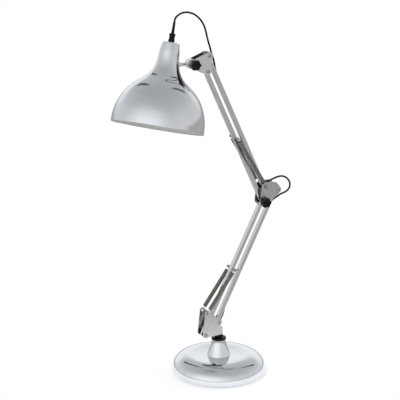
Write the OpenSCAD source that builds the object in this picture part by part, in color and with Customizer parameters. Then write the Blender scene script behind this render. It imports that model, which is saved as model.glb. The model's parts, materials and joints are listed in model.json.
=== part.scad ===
// Spring-balanced swing arm desk lamp with a round weighted base and a dome shade.
// The arm swings in the XZ plane, and the base stands on Z = 0 under the spindle.

/* [Base] */
// Largest radius of the base
base_r = 95; // [85:1:105]
// Height of the flat top of the base
base_h = 40; // [36:1:44]
// Height of the cone that carries the spindle
cone_h = 32; // [28:1:36]

/* [Arms] */
// Length of each lower tube between its pivots
lower_len = 291; // [270:1:310]
// Lean of the lower arm to the right of upright, in degrees
lower_lean = 26.3; // [18:0.1:32]
// Length of each upper tube between its pivots
upper_len = 298; // [280:1:310]
// Lean of the upper arm to the left of upright, in degrees
upper_lean = 24.7; // [20:0.1:40]
// Width of the square tubes
tube_w = 8.5; // [8:0.1:9]
// Wall of the square tubes
tube_wall = 1.1; // [1:0.05:1.2]

/* [Brackets] */
// Space between the two plates of each bracket
plate_gap = 22.8; // [22:0.1:24]
// Thickness of each plate
plate_t = 1.5; // [1.2:0.1:1.8]
// Diameter of the pivot screws
screw_d = 5; // [4:0.1:5]
// Diameter of the bolts under the two star knobs
bolt_d = 6; // [5:0.1:6]
// Radius of the star knobs over their lobes
knob_r = 10.5; // [9:0.5:12]

/* [Shade] */
// Radius of the shade's rim
shade_r = 89; // [85:0.5:92]
// Height of the shade along its own axis
shade_h = 162; // [160:0.5:165]
// Wall of the shade
shade_wall = 1; // [0.8:0.1:1.2]
// Tilt of the shade in the arm's plane, in degrees
shade_tilt = 14.7; // [10:0.1:18]
// Turn of the shade about its rod, in degrees
shade_turn = -9.6; // [-15:0.1:15]

/* [Cord] */
// Diameter of the cord between the shade and the base
cord_d = 3.6; // [3.2:0.1:3.8]

/* [Hidden] */
$fn = 64;
fit = 0.05;   // radial clearance of a turning fit
free = 0.3;   // gap between pieces that move past each other
gap = 0.4;    // gap between the end of a straight lead and the loop that goes on from it

// Pivots, as [x, z] in the arm's plane
function along(angle, length) = [length * sin(angle), length * cos(angle)];
P1 = [-35, 88];                              // front lower tube on the lower bracket
P2 = P1 + [30, 22];                          // rear lower tube on the lower bracket
A = P1 + along(lower_lean, lower_len);       // front tubes on the elbow
B = A + [30, 22];                            // rear lower tube on the elbow
C = A + [3, 30];                             // rear upper tube on the elbow
D1 = A + along(-upper_lean, upper_len);      // front upper tube on the head bracket
D2 = D1 + [3, 30];                           // rear upper tube on the head bracket
K = D1 + [-29, 15];                          // head knuckle
hook_low = P1 + [4, 45];                     // hook holes of the lower springs
pin_low = P1 + along(lower_lean, 143);       // spring pin in the front lower tube
pin_up = A + along(-upper_lean, 148);        // spring pin in the front upper tube

plate_in = plate_gap / 2;
plate_out = plate_in + plate_t;
half_w = tube_w / 2;
spring_low_y = plate_in + plate_t / 2;       // the lower springs hook through the plates
spring_up_y = plate_out + 1.9;               // the upper springs hook on a pin outside them
spring_r = 4.2;
wire_r = 0.65;
hook_wire_r = 0.5;                           // the straight wire at a spring's ends stays inside its wall

// Levels of the stem
plate_top = 2.7;                             // top of the steel bottom plate
pad_t = 1.5;
cone_top = base_h - 1 + cone_h;
collar_top = cone_top + 4.5;
block_low = collar_top + free;
block_high = block_low + 18;
spindle_r = 6;
spindle_low = 20;

// ---------- shapes that repeat ----------

// A cylinder along Y at the pivot p, from y0 to y1
module pin(p, d, y0, y1) {
    translate([p[0], y0, p[1]])
        rotate([-90, 0, 0])
            cylinder(d = d, h = y1 - y0);
}

// A ring along Y at the pivot p
module ring(p, d, bore, y0, y1) {
    difference() {
        pin(p, d, y0, y1);
        pin(p, bore, y0 - 1, y1 + 1);
    }
}

// The same piece on the far side
module both_sides() {
    children();
    mirror([0, 1, 0])
        children();
}

// A hexagon nut along Y at the pivot p
module hex_y(p, across, bore, y0, y1) {
    difference() {
        translate([p[0], y0, p[1]])
            rotate([-90, 0, 0])
                cylinder(d = across / cos(30), h = y1 - y0, $fn = 6);
        pin(p, bore, y0 - 1, y1 + 1);
    }
}

// A plate between rounded corners [x, z, radius], from y0 up to y0 + t
module plate(corners, y0, t) {
    hull()
        for (c = corners)
            pin([c[0], c[1]], 2 * c[2], y0, y0 + t, $fn = 32);
}

// A square with round corners
module round_square(side, r) {
    square([side - 2 * r, side], center = true);
    square([side, side - 2 * r], center = true);
    for (x = [-1, 1], y = [-1, 1])
        translate([x, y] * (side / 2 - r))
            circle(r);
}

// Puts a piece that runs up +Z, with +X to its right, at the pivot p with that lean
module on_arm(p, lean) {
    translate([p[0], 0, p[1]])
        rotate([0, lean, 0])
            children();
}

// A square tube up +Z
module square_tube(z0, z1) {
    translate([0, 0, z0])
        linear_extrude(z1 - z0)
            difference() {
                round_square(tube_w, 1.3);
                round_square(tube_w - 2 * tube_wall, 0.4);
            }
}

// A hole along Y through a tube at height z
module cross_hole(z, d) {
    pin([0, z], d, -tube_w, tube_w);
}

// A slot with round ends in the tube's right wall, for the cord, from z0 to z1
module cord_slot(z0, z1) {
    slot_w = cord_d + 1.4;
    rotate([0, 90, 0])
        for (z = [z0 + slot_w / 2, z1 - slot_w / 2])
            translate([-z, 0, 0])
                cylinder(d = slot_w, h = tube_w);
    translate([0, -slot_w / 2, z0 + slot_w / 2])
        cube([tube_w, slot_w, z1 - z0 - slot_w]);
}

// Keeps the round end of a tube at height z: everything above z (side 1) or below it (side -1)
module round_end(z, side) {
    pin([0, z], tube_w + 2.6, -tube_w, tube_w);
    translate([0, 0, z + side * 250])
        cube([3 * tube_w, 3 * tube_w, 500], center = true);
}

// A pan-head screw shank and head on the near side
module pivot_screw(p, d, head_d, y_end) {
    pin(p, d, -plate_out, y_end);
    difference() {
        pin(p, head_d, -plate_out - 2.6, -plate_out);
        pin(p, 2.4, -plate_out - 3, -plate_out - 1.4);
    }
}

// A black spacer between a tube and each plate
module spacer_pair(p, bore) {
    both_sides()
        ring(p, 11.6, bore, -plate_in, -half_w - free);
}

// A star knob with six lobes, from y0 to y1, blind on its bolt
module star_knob(p, y0, y1) {
    lobe_r = 3.4;
    difference() {
        union() {
            pin(p, 2 * (knob_r - lobe_r) + 2, y0, y1);
            for (a = [0:60:300])
                pin(p + along(a, knob_r - lobe_r), 2 * lobe_r, y0, y1);
            pin(p, 12, y1, y1 + 1.4);
        }
        pin(p, bolt_d, y0 + 3, y1 + 2);
    }
}

// ---------- cords ----------

// A route is a list of [x, y, z] points. These are chosen by hand.
function unit(v) = v / norm(v);
function on_route(r, i) = r[max(0, min(len(r) - 1, i))];
function heading(r, i) = unit(on_route(r, i + 1) - on_route(r, i - 1));
// Ring of 8 points round the route at point i
function cord_ring(r, i) =
    let (t = heading(r, i), u = unit(cross(t, [0, 1, 0])), v = cross(t, u))
    [for (k = [0:7]) r[i] + cord_d / 2 * (cos(45 * k) * u + sin(45 * k) * v)];

// The stretch of cord between two points of a route
module cord_piece(r, first, last) {
    n = last - first;
    points = [for (i = [first:last]) for (p = cord_ring(r, i)) p];
    sides = [for (i = [0:n - 1]) for (k = [0:7])
        [8 * i + k, 8 * i + (k + 1) % 8, 8 * i + 8 + (k + 1) % 8, 8 * i + 8 + k]];
    low = [for (k = [7:-1:0]) k];
    high = [for (k = [0:7]) 8 * n + k];
    color("#151515")
        polyhedron(points, concat([low], sides, [high]), convexity = 8);
}

// A straight run from p to q
module straight_run(p, q) {
    d = q - p;
    color("#151515")
        translate(p)
            rotate([0, acos(d[2] / norm(d)), atan2(d[1], d[0])])
                cylinder(d = cord_d, h = norm(d));
}

// Points inside the rear tubes: height h above the pivot p
function in_tube(p, lean, h) = [p[0] + h * sin(lean), 0, p[1] + h * cos(lean)];
low_start = 46;  // heights in the rear tubes, from their pivots, where a loop meets the straight lead
low_end = 56;
up_start = 38;
up_end = 52;
upper_in = in_tube(C, -upper_lean, upper_len - up_end);
upper_out = in_tube(C, -upper_lean, up_start);
lower_in = in_tube(B, lower_lean, -low_end);
lower_out = in_tube(P2, lower_lean, low_start);

head_route = [[-88.8, 13.2, 713], [-86.8, 14, 719.8], [-82, 13.5, 725.5], [-74.5, 11.5, 730], [-66, 9.5, 731.5],
    [-57.5, 8, 730], [-49.5, 7, 726.5], [-42.5, 6, 721], [-36.5, 5, 714], [-32, 4, 706], [-29, 3, 697],
    [-27, 2.2, 688], [-25, 1.5, 679], [-22.5, 0.8, 670], [-20, 0.2, 661], [-17.5, 0, 652], [-14.5, 0, 643.5],
    [-12, 0, 635], [-10.5, 0, 626.5], [-8.8, 0, 618], [-7, 0, 609.5], upper_in];
head_split = [7, 14];

elbow_route = [upper_out, [84.5, 0, 407], [88, 0, 401], [92, 0, 395], [95, 0, 391], [99, 0, 388], [104, 0, 387.2],
    [110, 0, 388.2], [117, 0, 390.3], [124, 0, 392.6], [131.5, 0, 394.3], [139.5, 0, 394.3], [147, 0, 391.5],
    [153, 0, 386.3], [157, 0, 379], [157, 0, 370.5], [152, 0, 363.5], [144.5, 0, 360], [137, 0, 357.8],
    [130.3, 0, 354.4], [123.7, 0, 350.9], [117.8, 0, 347.1], [112.3, 0, 342.1], [107.3, 0, 335.6],
    [103.2, 0, 328.7], lower_in];
elbow_split = 12;

bracket_route = [lower_out, [13.7, 0, 145.4], [12.4, 0, 138.2], [11.2, 0, 131], [9.3, 0, 124.1], [6.4, 0, 117.8],
    [3.6, 0, 112], [1.5, 0, 106], [0.3, 0, 100], [0, 0, block_high]];

// ---------- base ----------

// Outline of the base cover, inset by t: a tucked-in foot, a full shoulder and a slightly dished top
function power(x, e) = x < 1e-6 ? 0 : pow(x, e);
foot_r = base_r - 16;
foot_h = 8.5;
flat_r = base_r - 38;
function cover_outline(t) = concat(
    [for (a = [0:10:90]) [foot_r + (16 - t) * sin(a), pad_t + foot_h - foot_h * cos(a)]],
    [for (a = [6:6:90]) [flat_r + (38 - t) * power(cos(a), 0.9),
        pad_t + foot_h + (base_h - pad_t - foot_h - t) * power(sin(a), 0.9)]],
    [[40, base_h - 0.7 - t], [28, base_h - 1 - t]]);

module base_cover() {
    inner = cover_outline(1.2);
    color("#e2e6ea")
        difference() {
            rotate_extrude($fn = 128)
                polygon(concat(cover_outline(0), [[11, base_h - 1], [11, base_h - 2.2]],
                    [for (i = [len(inner) - 1:-1:0]) inner[i]]));
            translate([0, base_r - 15, 14])
                rotate([-90, 0, 0])
                    cylinder(r = 5, h = 20);
        }
}

weight_r = 75;
module base_weight() {
    color("#4a4a4c")
        difference() {
            translate([0, 0, plate_top])
                cylinder(r = weight_r, h = 22, $fn = 128);
            translate([0, 0, plate_top - 1])
                cylinder(r = 20, h = 24);
            translate([-6, 0, plate_top + 6])
                cube([12, weight_r + 1, 17]);
            bottom_screw_places()
                cylinder(d = 4, h = 12);
        }
}

module bottom_screw_places() {
    for (a = [45:90:315])
        rotate([0, 0, a])
            translate([60, 0, 0])
                children();
}

module bottom_plate() {
    color("#8d9094")
        difference() {
            translate([0, 0, pad_t])
                cylinder(r = foot_r - 2, h = plate_top - pad_t, $fn = 128);
            bottom_screw_places()
                cylinder(d = 4, h = 5);
            cylinder(r = 14, h = 5);
        }
}

module bottom_screws() {
    color("#b9bcc0")
        bottom_screw_places() {
            translate([0, 0, 0.6])
                cylinder(d = 7, h = pad_t - 0.6);
            translate([0, 0, pad_t])
                cylinder(d = 4, h = 10);
        }
}

module base_pad() {
    color("#1a1a1a")
        difference() {
            cylinder(r = foot_r - 1, h = pad_t, $fn = 128);
            bottom_screw_places()
                translate([0, 0, 0.5])
                    cylinder(d = 8, h = 5);
        }
}

gland_z = 14;
module cord_gland() {
    color("#161616")
        translate([0, 0, gland_z])
            rotate([-90, 0, 0])
                difference() {
                    union() {
                        translate([0, 0, base_r - 8])
                            cylinder(r = 5, h = 9);
                        translate([0, 0, base_r + 0.2])
                            cylinder(r = 7, h = 2.4);
                        translate([0, 0, base_r - 8])
                            cylinder(r = 6.2, h = 3);
                    }
                    translate([0, 0, base_r - 9])
                        cylinder(r = 3, h = 14);
                }
}

// Hollow cone with a central tube that takes the bush, and a threaded shank through the cover
shank_r = 10.6;
bush_r = 8;
module stem_cone() {
    color("#dfe2e6")
        difference() {
            union() {
                translate([0, 0, base_h - 1])
                    rotate_extrude()
                        polygon(concat([[0, 0]],
                            [for (i = [0:12]) let (s = i / 12)
                                [14.8 + 9.4 * pow(1 - s, 1.35), (cone_h - 0.01) * s]],
                            [[14.8, cone_h], [0, cone_h]]));
                translate([0, 0, base_h - 10])
                    cylinder(r = shank_r, h = 10);
            }
            translate([0, 0, base_h - 2])
                difference() {
                    rotate_extrude()
                        polygon([[0, 0], [21.5, 0], [12.6, cone_h - 3], [0, cone_h - 3]]);
                    cylinder(r = shank_r, h = cone_h);
                }
            cylinder(r = bush_r, h = 100);
        }
}

module stem_bush() {
    color("#20211f")
        translate([0, 0, base_h - 12])
            difference() {
                cylinder(r = bush_r, h = cone_top - base_h + 12);
                translate([0, 0, -1])
                    cylinder(r = spindle_r + fit, h = 80);
            }
}

module stem_ring_nut() {
    color("#9b9ea2")
        translate([0, 0, base_h - 7.5])
            difference() {
                cylinder(r = 17, h = 5, $fn = 6);
                translate([0, 0, -1])
                    cylinder(r = shank_r, h = 9);
            }
}

module stem_collar() {
    color("#141414")
        translate([0, 0, cone_top])
            difference() {
                union() {
                    cylinder(r = 14.2, h = 4.5);
                    translate([0, 0, 0.6])
                        cylinder(r = 14.8, h = 3.3);
                }
                translate([0, 0, -1])
                    cylinder(r = spindle_r + fit, h = 9);
            }
}

module base_lead() {
    straight_run([0, 12, gland_z + 4], [0, base_r - 9, gland_z]);
}

// ---------- lower bracket ----------

module spindle() {
    color("#c9ccd0")
        difference() {
            translate([0, 0, spindle_low])
                cylinder(r = spindle_r, h = block_high - spindle_low);
            translate([0, 0, spindle_low - 1])
                cylinder(r = 3.2, h = 90);
        }
}

module spindle_nut() {
    color("#9b9ea2")
        translate([0, 0, base_h - 12 - free - 5])
            difference() {
                cylinder(r = 9.5, h = 5, $fn = 6);
                translate([0, 0, -1])
                    cylinder(r = spindle_r, h = 9);
            }
}

module bracket_block() {
    color("#1c1c1d")
        difference() {
            union() {
                translate([-16, -plate_in, block_low + 5.5])
                    cube([18, plate_gap, block_high - block_low - 5.5]);
                translate([0, 0, block_low])
                    cylinder(r = 8, h = block_high - block_low);
            }
            cylinder(r = spindle_r, h = 200);
        }
}

module lower_plate(y0) {
    color("#c4c7ca")
        difference() {
            union() {
                plate([[P1[0], P1[1], 6.2], [hook_low[0], hook_low[1], 5.2], [P2[0] + 0.5, P2[1] + 1, 5.4]],
                    y0, plate_t);
                plate([[P1[0], P1[1], 6.2], [-0.5, block_low + 12, 3], [-1.5, block_low + 23, 4], [-20, 112, 3]],
                    y0, plate_t);
                pin([-0.5, block_low + 12], 6, y0, y0 + plate_t);
            }
            pin(P1, screw_d, y0 - 1, y0 + 3);
            pin(P2, screw_d, y0 - 1, y0 + 3);
            pin(hook_low, 5, y0 - 1, y0 + 3);
        }
}
module lower_plate_near() {
    lower_plate(-plate_out);
}
module lower_plate_far() {
    lower_plate(plate_in);
}

nut_y = plate_out + 4.2;
module lower_pivot_screws() {
    color("#b7babd")
        for (p = [P1, P2])
            pivot_screw(p, screw_d, 8, nut_y);
}

module lower_pivot_nuts() {
    color("#b7babd")
        for (p = [P1, P2])
            hex_y(p, 8, screw_d, plate_out, nut_y - 0.6);
}

module lower_spacers() {
    color("#141414")
        for (p = [P1, P2])
            spacer_pair(p, screw_d);
}

module stem_lead() {
    straight_run([0, 0, spindle_low - 2], [0, 0, block_high - gap]);
}

// ---------- lower arm ----------

fork = 11;     // how far the fork reaches down from the elbow bolt
module lower_front_tube() {
    color("#d7dadd")
        on_arm(P1, lower_lean)
            difference() {
                intersection() {
                    square_tube(-8, lower_len + 8);
                    round_end(0, 1);
                    round_end(lower_len, -1);
                }
                cross_hole(0, screw_d + 2 * fit);
                cross_hole(lower_len, bolt_d + 0.4);
                cross_hole(143, 4);
                translate([-tube_w, -half_w + tube_wall, lower_len - fork])
                    cube([2 * tube_w, tube_w - 2 * tube_wall, 2 * fork]);
            }
}

// A pin across a tube with a small head at each end
module spring_pin(p) {
    pin_y = spring_up_y + 1.9;
    color("#cfd2d5")
        union() {
            pin(p, 4, -pin_y, pin_y);
            both_sides()
                pin(p, 5.2, -pin_y - 1.2, -pin_y);
        }
}

module lower_spring_pin() {
    spring_pin(pin_low);
}

module lower_rear_tube() {
    color("#d7dadd")
        on_arm(P2, lower_lean)
            difference() {
                square_tube(-6, lower_len + 6.5);
                cross_hole(0, screw_d + 2 * fit);
                cross_hole(lower_len, screw_d + 2 * fit);
                cord_slot(17, 47);
                cord_slot(lower_len - 39, lower_len - 10);
            }
}

module lower_lead() {
    straight_run(in_tube(P2, lower_lean, low_start + gap), in_tube(B, lower_lean, -low_end - gap));
}

// A coil between its hook at p and the spring pin at q, at that distance from the arm's plane.
// A ring of radius hook_r passes round what the hook holds.
module spring(p, q, y, hook_r, start) {
    d = q - p;
    lean = atan2(d[0], d[1]);
    reach = norm(d);
    translate([p[0], y, p[1]])
        rotate([0, lean, 0]) {
            difference() {
                translate([0, 0, start])
                    cylinder(r = spring_r, h = reach - start - 6);
                translate([0, 0, start - 1])
                    cylinder(r = spring_r - 2 * wire_r, h = reach - start - 4);
            }
            translate([spring_r - wire_r, 0, hook_r + (start > 12 ? 0.3 : hook_r)])
                cylinder(r = hook_wire_r, h = start + 1 - hook_r - (start > 12 ? 0.3 : hook_r));
            translate([spring_r - wire_r, 0, reach - 7])
                cylinder(r = hook_wire_r, h = 7);
        }
}

module lower_springs() {
    color("#5f5954")
        both_sides()
            spring(hook_low, pin_low, -spring_low_y, 3.75, 9);
}

// ---------- elbow ----------

module elbow_plate(y0) {
    color("#c4c7ca")
        difference() {
            plate([[A[0], A[1], 9.5], [B[0], B[1], 7], [A[0] + 22, C[1] + 1, 7.5], [C[0], C[1], 9]], y0, plate_t);
            pin(A, bolt_d + 2 * fit, y0 - 1, y0 + 3);
            pin(B, screw_d, y0 - 1, y0 + 3);
            pin(C, screw_d, y0 - 1, y0 + 3);
        }
}
module elbow_plate_near() {
    elbow_plate(-plate_out);
}
module elbow_plate_far() {
    elbow_plate(plate_in);
}

// One pivot screw at the rear lower tube, and the long pin that also carries the upper springs
module elbow_screws() {
    color("#b7babd") {
        pivot_screw(B, screw_d, 8, nut_y);
        pin(C, screw_d, -plate_out - 0.6, plate_out + 0.6);
        both_sides() {
            pin(C, 4, -spring_up_y - 1.9, -plate_out - 0.6);
            pin(C, 5.2, -spring_up_y - 3.1, -spring_up_y - 1.9);
        }
    }
}

module elbow_nuts() {
    color("#b7babd") {
        hex_y(B, 8, screw_d, plate_out, nut_y - 0.6);
        hex_y(A, 10, bolt_d + 2 * fit, plate_out, plate_out + 5);
    }
}

module elbow_spacers() {
    color("#141414") {
        spacer_pair(A, bolt_d + 2 * fit);
        spacer_pair(B, screw_d);
        spacer_pair(C, screw_d);
    }
}

knob_y = plate_out + 1.5 + free;      // underside of a knob's boss
module elbow_knob() {
    color("#121212")
        star_knob(A, -knob_y - 10, -knob_y);
}

module elbow_bolt() {
    color("#b7babd")
        pin(A, bolt_d, -knob_y - 7, plate_out + 6.5);
}

// ---------- upper arm ----------

module upper_front_tube() {
    tongue = tube_w - 2 * tube_wall - 2 * free;
    color("#d7dadd")
        on_arm(A, -upper_lean)
            difference() {
                union() {
                    difference() {
                        intersection() {
                            square_tube(fork + 1.5, upper_len + 8);
                            round_end(upper_len, -1);
                        }
                        cross_hole(148, 4);
                        cross_hole(upper_len, screw_d + 0.4);
                    }
                    intersection() {
                        translate([-half_w, -tongue / 2, -6])
                            cube([tube_w, tongue, fork + 10]);
                        round_end(0, 1);
                    }
                }
                cross_hole(0, bolt_d + 2 * fit);
            }
}

module upper_spring_pin() {
    spring_pin(pin_up);
}

module upper_rear_tube() {
    color("#d7dadd")
        on_arm(C, -upper_lean)
            difference() {
                square_tube(-6, upper_len + 6);
                cross_hole(0, screw_d + 2 * fit);
                cross_hole(upper_len, screw_d + 2 * fit);
                cord_slot(4, 26);
                cord_slot(upper_len - 52, upper_len - 18);
            }
}

module upper_lead() {
    straight_run(in_tube(C, -upper_lean, up_start + gap), in_tube(C, -upper_lean, upper_len - up_end - gap));
}

module upper_springs() {
    color("#5f5954")
        both_sides()
            spring(C, pin_up, -spring_up_y, 2.9, 14.5);
}

// ---------- head bracket ----------

// The same three corners for both plates and the liner; less makes them smaller all round
module head_triangle(less, y0, t) {
    plate([[K[0], K[1], 9 - less], [D1[0], D1[1], 6.8 - less], [D2[0], D2[1], 6.8 - less]], y0, t);
}
module head_plate(y0, less = 0) {
    color("#e6e8ea")
        difference() {
            head_triangle(less, y0, plate_t);
            pin(K, bolt_d + 2 * fit, y0 - 1, y0 + 3);
            pin(D1, screw_d, y0 - 1, y0 + 3);
            pin(D2, screw_d, y0 - 1, y0 + 3);
        }
}
module head_plate_near() {
    head_plate(-plate_out);
}
module head_plate_far() {
    head_plate(plate_in, 1.5);
}

module head_screws() {
    color("#8b8782")
        for (p = [D1, D2])
            pivot_screw(p, screw_d, 8, nut_y);
}

module head_nuts() {
    color("#b7babd") {
        for (p = [D1, D2])
            hex_y(p, 8, screw_d, plate_out, nut_y - 0.6);
        hex_y(K, 10, bolt_d + 2 * fit, plate_out, plate_out + 5);
    }
}

// The near spacers are moulded in one with a liner that covers the back of the near plate
liner_t = 4.7;
module head_spacers() {
    color("#141414") {
        difference() {
            union() {
                head_triangle(0, -plate_in, liner_t);
                for (p = [D1, D2])
                    pin(p, 11.6, -plate_in, -half_w - free);
            }
            pin(K, bolt_d + 2 * free, -plate_in - 1, 0);
            for (p = [D1, D2])
                pin(p, screw_d, -plate_in - 1, 0);
        }
        for (p = [D1, D2])
            ring(p, 11.6, screw_d, half_w + free, plate_in);
    }
}

module head_knob() {
    color("#121212")
        star_knob(K, -knob_y - 10, -knob_y);
}

module head_bolt() {
    color("#b7babd")
        pin(K, bolt_d, -knob_y - 7, plate_out + 6.5);
}

// Knuckle between the plates, with the rod screwed into its left side
rod_r = 3.5;
module head_knuckle() {
    color("#d9dcdf")
        difference() {
            pin(K, 19, -plate_in + liner_t + free, plate_in - free);
            pin(K, bolt_d + 2 * fit, -20, 20);
            translate([K[0] - 10, 0, K[1]])
                rotate([0, 90, 0])
                    cylinder(r = rod_r, h = 5);
        }
}

// The rod runs from the knuckle through the shade's neck to its nut
rod_start = K[0] - 5;
neck_x = K[0] - 50;                   // where the shade's axis meets the rod's axis
wall_x = neck_x + 22.9;               // outside of the neck on the rod's axis
module along_rod(x0, x1, r) {
    translate([x1, 0, K[1]])
        rotate([0, 90, 0])
            cylinder(r = r, h = x0 - x1);
}

module shade_rod() {
    color("#c9ccd0")
        along_rod(rod_start, wall_x - 6.8, rod_r);
}

module rod_nut() {
    color("#9b9ea2")
        difference() {
            along_rod(wall_x - 3.2, wall_x - 6.2, 5.8, $fn = 6);
            along_rod(wall_x, wall_x - 8, rod_r);
        }
}

// ---------- shade ----------

// Everything on the shade is drawn down its own axis: z = 0 at the top of the neck and the opening below
rod_drop = 43.6;
module in_shade() {
    translate([neck_x, 0, K[1]])
        rotate([shade_turn, 0, 0])
            rotate([0, shade_tilt, 0])
                translate([0, 0, rod_drop])
                    children();
}

// Outline of the shade as [radius, depth below the neck's top]: a slightly conical neck that flares into a dome
outline = [[15.3, 0], [16.4, 1.2], [18.8, 16], [20.3, 32], [22.8, 44], [26.8, 54], [32.8, 63], [41, 71],
    [52.3, 80], [64, 91], [73.8, 104], [80.8, 118], [85.6, 132], [88.2, 147], [shade_r, shade_h]];
// Points of a smooth curve through the outline, three to a span
function curve(p, i, s) =
    let (a = p[max(i - 1, 0)], b = p[i], c = p[i + 1], d = p[min(i + 2, len(p) - 1)])
    0.5 * (2 * b + (c - a) * s + (2 * a - 5 * b + 4 * c - d) * s * s + (3 * b - 3 * c + d - a) * s * s * s);
smooth = concat([for (i = [1:len(outline) - 2]) for (s = [0:2]) curve(outline, i, s / 3)],
    [outline[len(outline) - 1]]);
// The same curve moved inwards by the wall
function inward(p, i) =
    let (t = on_route(p, i + 1) - on_route(p, i - 1))
    p[i] + shade_wall * [-t[1], t[0]] / norm(t);
module revolved(points) {
    rotate_extrude($fn = 96)
        polygon([for (p = points) [p[0], -p[1]]]);
}

// The shade is one spinning. It is kept as three rings that meet face to face, each a simple wall round its hollow.
neck_end = 15;    // points of the smooth outline where one ring ends and the next begins
crown_end = 27;
function wall_outline(first, last) = concat([for (i = [first:last]) smooth[i]],
    [for (i = [last:-1:first]) inward(smooth, i)]);

module shade_neck() {
    color("#dde2e8")
        difference() {
            in_shade()
                revolved(concat([[5, 0], [15.3, 0]], wall_outline(0, neck_end), [[14.6, 1.4], [5, 1.4]]));
            along_rod(wall_x + 6, wall_x - 9, rod_r + 0.1);
        }
}

module shade_crown() {
    color("#dde2e8")
        in_shade()
            revolved(wall_outline(neck_end, crown_end));
}

module shade_bell() {
    color("#dde2e8")
        in_shade()
            revolved(wall_outline(crown_end, len(smooth) - 1));
}

// Plated washer between the rod and the neck, hollowed to sit on the neck with a hair of clearance
washer_r = 5.4;
module rod_saddle() {
    near_rod = [for (p = smooth) if (p[1] > 20 && p[1] < 70) [p[0] + 0.1, p[1]]];
    color("#b7babd")
        difference() {
            along_rod(wall_x + 2, wall_x - 2, washer_r);
            along_rod(wall_x + 8, wall_x - 9, rod_r + 0.1);
            in_shade()
                revolved(concat([[0, near_rod[0][1]]], near_rod, [[0, near_rod[len(near_rod) - 1][1]]]));
        }
}

gland_h = 17.5;
relief_h = 21;
module shade_gland() {
    color("#151515")
        in_shade()
            difference() {
                union() {
                    cylinder(r = 6, h = gland_h);
                    translate([0, 0, gland_h])
                        cylinder(r1 = 3.1, r2 = 2.4, h = relief_h);
                    translate([0, 0, -6])
                        cylinder(r = 4.9, h = 6);
                }
                translate([0, 0, -7])
                    cylinder(r = cord_d / 2 + 0.1, h = 60);
            }
}

module gland_nut() {
    color("#9b9ea2")
        in_shade()
            translate([0, 0, -4.6])
                difference() {
                    cylinder(r = 7.6, h = 3.2, $fn = 6);
                    translate([0, 0, -1])
                        cylinder(r = 4.9, h = 6);
                }
}

// Lampholder for a small screw lamp, on the gland's threaded nipple
holder_low = 58;
module holder_body() {
    color("#1b1b1b")
        in_shade()
            difference() {
                union() {
                    translate([0, 0, -holder_low])
                        cylinder(r = 13, h = holder_low - 9);
                    translate([0, 0, -9])
                        cylinder(r1 = 13, r2 = 9, h = 3);
                }
                translate([0, 0, -holder_low - 1])
                    cylinder(r = 11.2, h = 6);
                translate([0, 0, -holder_low + 1])
                    cylinder(r = 8, h = 30);
                translate([0, 0, -30])
                    cylinder(r = 3, h = 30);
            }
}

thread_r = 7;
module holder_thread() {
    color("#c8b27a")
        in_shade()
            translate([0, 0, -holder_low + 5])
                difference() {
                    cylinder(r = 8, h = 22);
                    translate([0, 0, -1])
                        cylinder(r = thread_r, h = 30);
                }
}

module holder_contact() {
    color("#c8a860")
        in_shade()
            translate([0, 0, -holder_low + 27.5]) {
                translate([0, 0, 3])
                    cube([7, 3, 1], center = true);
                translate([0, 0, 0.8])
                    cylinder(r = 2, h = 2);
            }
}

// ---------- drawing ----------

base_cover();
base_weight();
bottom_plate();
bottom_screws();
base_pad();
cord_gland();
stem_cone();
stem_bush();
stem_ring_nut();
stem_collar();
base_lead();
spindle();
spindle_nut();
bracket_block();
lower_plate_near();
lower_plate_far();
lower_pivot_screws();
lower_pivot_nuts();
lower_spacers();
stem_lead();
lower_front_tube();
lower_spring_pin();
lower_rear_tube();
lower_lead();
lower_springs();
elbow_plate_near();
elbow_plate_far();
elbow_screws();
elbow_nuts();
elbow_spacers();
elbow_knob();
elbow_bolt();
upper_front_tube();
upper_spring_pin();
upper_rear_tube();
upper_lead();
upper_springs();
head_plate_near();
head_plate_far();
head_screws();
head_nuts();
head_spacers();
head_knob();
head_bolt();
head_knuckle();
shade_rod();
rod_nut();
shade_neck();
shade_crown();
shade_bell();
rod_saddle();
shade_gland();
gland_nut();
holder_body();
holder_thread();
holder_contact();
cord_piece(head_route, 0, head_split[0]);  // head_loop_a
cord_piece(head_route, head_split[0], head_split[1]);  // head_loop_b
cord_piece(head_route, head_split[1], len(head_route) - 1);  // head_loop_c
cord_piece(elbow_route, 0, elbow_split);  // elbow_loop_a
cord_piece(elbow_route, elbow_split, len(elbow_route) - 1);  // elbow_loop_b
cord_piece(bracket_route, 0, len(bracket_route) - 1);  // bracket_run
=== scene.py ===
# %% [markdown]
# # A swing arm desk lamp in chrome
# The lamp has a weighted round base, two arms of square tube, four coil springs and a dome shade.
# Its moving skeleton is already packed as a frame of solid nodes, each on the body that it moves with.
# This lesson adds what the eye sees: smooth turned shells, real coils, moulded knobs and their finishes.
# Everything is in metres, with +X towards the elbow, +Y away from the knobs and +Z up.

# %% Load the frame
import json
import math

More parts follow.
